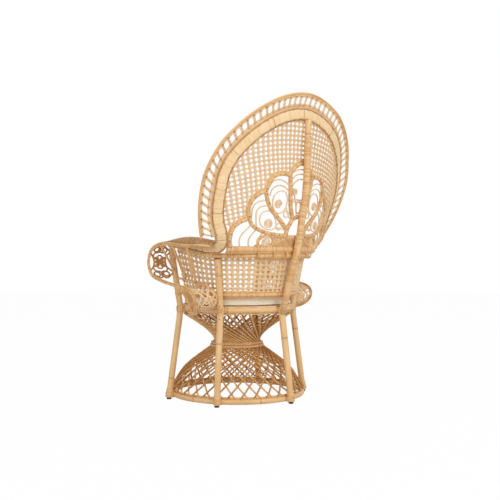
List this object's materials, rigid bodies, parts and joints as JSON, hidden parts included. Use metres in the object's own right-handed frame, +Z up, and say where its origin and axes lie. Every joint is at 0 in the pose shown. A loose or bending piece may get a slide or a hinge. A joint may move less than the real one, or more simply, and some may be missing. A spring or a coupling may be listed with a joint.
{
  "type": "peacock chair",
  "caption": "Rattan peacock chair: woven tub seat with scrolled arms on a waisted cane pedestal, tall fan back with a shell ornament, and a loose round cushion.",
  "frame": {"origin": "on the floor under the middle of the chair's bounding box", "axes": "+Z up, the chair faces -Y, the sitter's left is +X"},
  "size_m": [1.0334, 0.8236, 1.4659],
  "materials": {
    "peeled_pole": "satin varnish over peeled honey-coloured rattan",
    "rattan_cane": "satin varnish over thin honey-coloured cane",
    "wrapped_core": "close wrapping of flat split cane, satin",
    "woven_core": "close weave of fine round reed, satin",
    "cushion_cloth": "plain off-white cloth over foam",
    "dark_glide": "dark brown, matte"
  },
  "bodies": {
    "frame": {"arm_lower_rail_left": "rattan_cane", "arm_lower_rail_right": "rattan_cane", "arm_pad_left": "wrapped_core", "arm_pad_right": "wrapped_core", "arm_rim_left": "rattan_cane", "arm_rim_right": "rattan_cane", "arm_strut_1_left": "rattan_cane", "arm_strut_1_right": "rattan_cane", "arm_strut_2_left": "rattan_cane", "arm_strut_2_right": "rattan_cane", "arm_strut_3_left": "rattan_cane", "arm_strut_3_right": "rattan_cane", "base_ring": "peeled_pole", "bell_inner_canes": "rattan_cane", "bell_outer_canes": "rattan_cane", "fan_band": "wrapped_core", "fan_bottom_bar": "wrapped_core", "fan_lace": "rattan_cane", "fan_rim": "rattan_cane", "fan_shell": "wrapped_core", "fan_weave": "woven_core", "front_glide_left": "dark_glide", "front_glide_right": "dark_glide", "front_pole_left": "peeled_pole", "front_pole_right": "peeled_pole", "front_scroll_left": "rattan_cane", "front_scroll_right": "rattan_cane", "funnel_inner_canes": "rattan_cane", "funnel_outer_canes": "rattan_cane", "petal_eye_lower_left": "rattan_cane", "petal_eye_lower_right": "rattan_cane", "petal_eye_middle": "rattan_cane", "petal_eye_middle_left": "rattan_cane", "petal_eye_middle_right": "rattan_cane", "petal_eye_upper_left": "rattan_cane", "petal_eye_upper_right": "rattan_cane", "rear_glide": "dark_glide", "rear_pole": "peeled_pole", "rear_scroll_left": "rattan_cane", "rear_scroll_right": "rattan_cane", "seat_bar_left": "peeled_pole", "seat_bar_right": "peeled_pole", "seat_deck": "woven_core", "seat_ring": "peeled_pole", "side_glide_left": "dark_glide", "side_glide_right": "dark_glide", "side_pole_left": "peeled_pole", "side_pole_right": "peeled_pole", "tub_bottom_rail": "wrapped_core", "tub_rear_wall_left": "woven_core", "tub_rear_wall_right": "woven_core", "tub_side_wall_left": "woven_core", "tub_side_wall_right": "woven_core", "tub_top_rail": "wrapped_core", "waist_hoop": "wrapped_core"},
    "cushion": {"seat_cushion": "cushion_cloth"}
  },
  "joints": [
    {"name": "cushion_lift", "type": "slide", "parent": "frame", "child": "cushion", "axis": [0, 0, 1], "range_m": [0, 0.12]}
  ]
}
